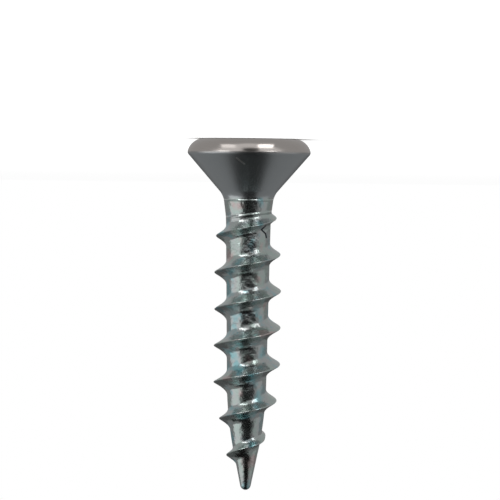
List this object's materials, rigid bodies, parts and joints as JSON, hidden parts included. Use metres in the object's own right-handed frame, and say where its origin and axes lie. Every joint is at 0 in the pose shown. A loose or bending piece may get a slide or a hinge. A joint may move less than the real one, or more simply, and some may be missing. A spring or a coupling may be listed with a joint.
{
  "type": "drawer slide screw",
  "caption": "Short zinc-plated flat countersunk head screw with a cross recess and a coarse right-hand thread for fixing drawer slides into wood.",
  "frame": {"origin": "middle of the head's flat face, which the screw stands on", "axes": "+Z along the screw from the head's face to the point; +X through one wing of the recess and the place where the thread starts"},
  "size_m": [0.0066, 0.0066, 0.0191],
  "materials": {
    "zinc_plated_steel": "bright zinc plating with a faint blue-green cast"
  },
  "bodies": {
    "root": {"drawer_slide_screw": "zinc_plated_steel"}
  },
  "joints": []
}
